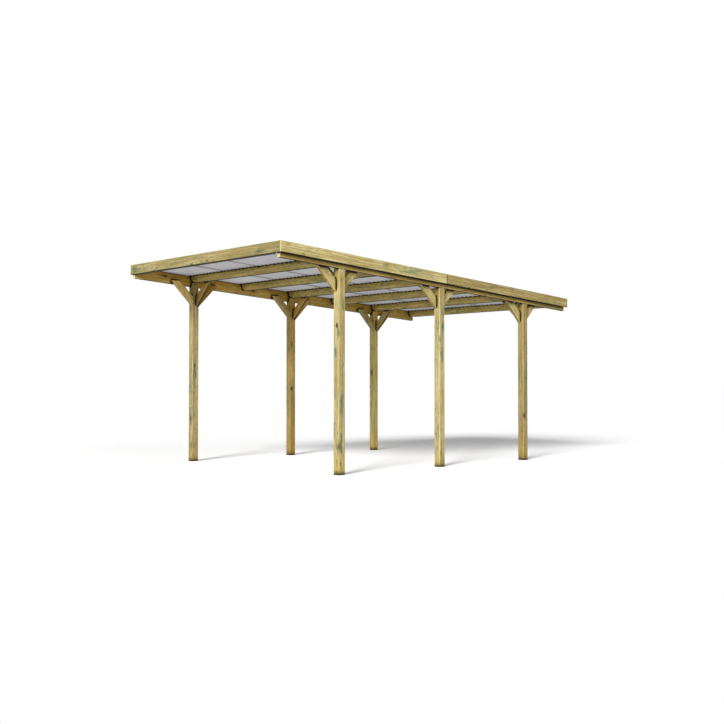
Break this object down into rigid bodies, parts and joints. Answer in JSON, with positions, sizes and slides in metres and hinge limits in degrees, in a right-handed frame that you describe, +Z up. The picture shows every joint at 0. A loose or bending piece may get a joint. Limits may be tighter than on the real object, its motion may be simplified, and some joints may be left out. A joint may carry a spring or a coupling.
{
  "type": "carport",
  "caption": "Open timber carport with notched posts, knee braces, side beams, rafters, fascia boards and a gently falling roof of wavy translucent sheets.",
  "frame": {"origin": "on the ground midway between the two middle posts, under the centre of the roof", "axes": "+X across the carport, to the right hand of someone who stands in front and looks in; +Y from the high front to the low rear; +Z up"},
  "size_m": [3.009, 5.056, 2.489],
  "materials": {
    "post_timber": "matt, sawn and pressure treated",
    "brace_timber": "matt, sawn and pressure treated",
    "beam_timber": "matt, sawn and pressure treated",
    "rafter_timber": "matt, sawn and pressure treated",
    "fascia_boards": "matt, sawn and pressure treated",
    "roof_sheet": "translucent, softly glossy",
    "fixings": "zinc plated, dull"
  },
  "bodies": {
    "root": {"post_front_left": "post_timber", "brace_front_left_forward": "brace_timber", "brace_front_left_backward": "brace_timber", "brace_front_left_inward": "brace_timber", "post_middle_left": "post_timber", "brace_middle_left_forward": "brace_timber", "brace_middle_left_backward": "brace_timber", "brace_middle_left_inward": "brace_timber", "post_rear_left": "post_timber", "brace_rear_left_forward": "brace_timber", "brace_rear_left_backward": "brace_timber", "brace_rear_left_inward": "brace_timber", "beam_left_front": "beam_timber", "fascia_left_front": "fascia_boards", "beam_left_rear": "beam_timber", "fascia_left_rear": "fascia_boards", "post_front_right": "post_timber", "brace_front_right_forward": "brace_timber", "brace_front_right_backward": "brace_timber", "brace_front_right_inward": "brace_timber", "post_middle_right": "post_timber", "brace_middle_right_forward": "brace_timber", "brace_middle_right_backward": "brace_timber", "brace_middle_right_inward": "brace_timber", "post_rear_right": "post_timber", "brace_rear_right_forward": "brace_timber", "brace_rear_right_backward": "brace_timber", "brace_rear_right_inward": "brace_timber", "beam_right_front": "beam_timber", "fascia_right_front": "fascia_boards", "beam_right_rear": "beam_timber", "fascia_right_rear": "fascia_boards", "fascia_front": "fascia_boards", "fascia_strips": "beam_timber", "rafter_front": "rafter_timber", "rafter_1": "rafter_timber", "rafter_2": "rafter_timber", "rafter_3": "rafter_timber", "rafter_4": "rafter_timber", "rafter_5": "rafter_timber", "rafter_6": "rafter_timber", "roof_sheet_1": "roof_sheet", "roof_sheet_2": "roof_sheet", "roof_sheet_3": "roof_sheet", "roof_sheet_4": "roof_sheet"}
  },
  "joints": []
}
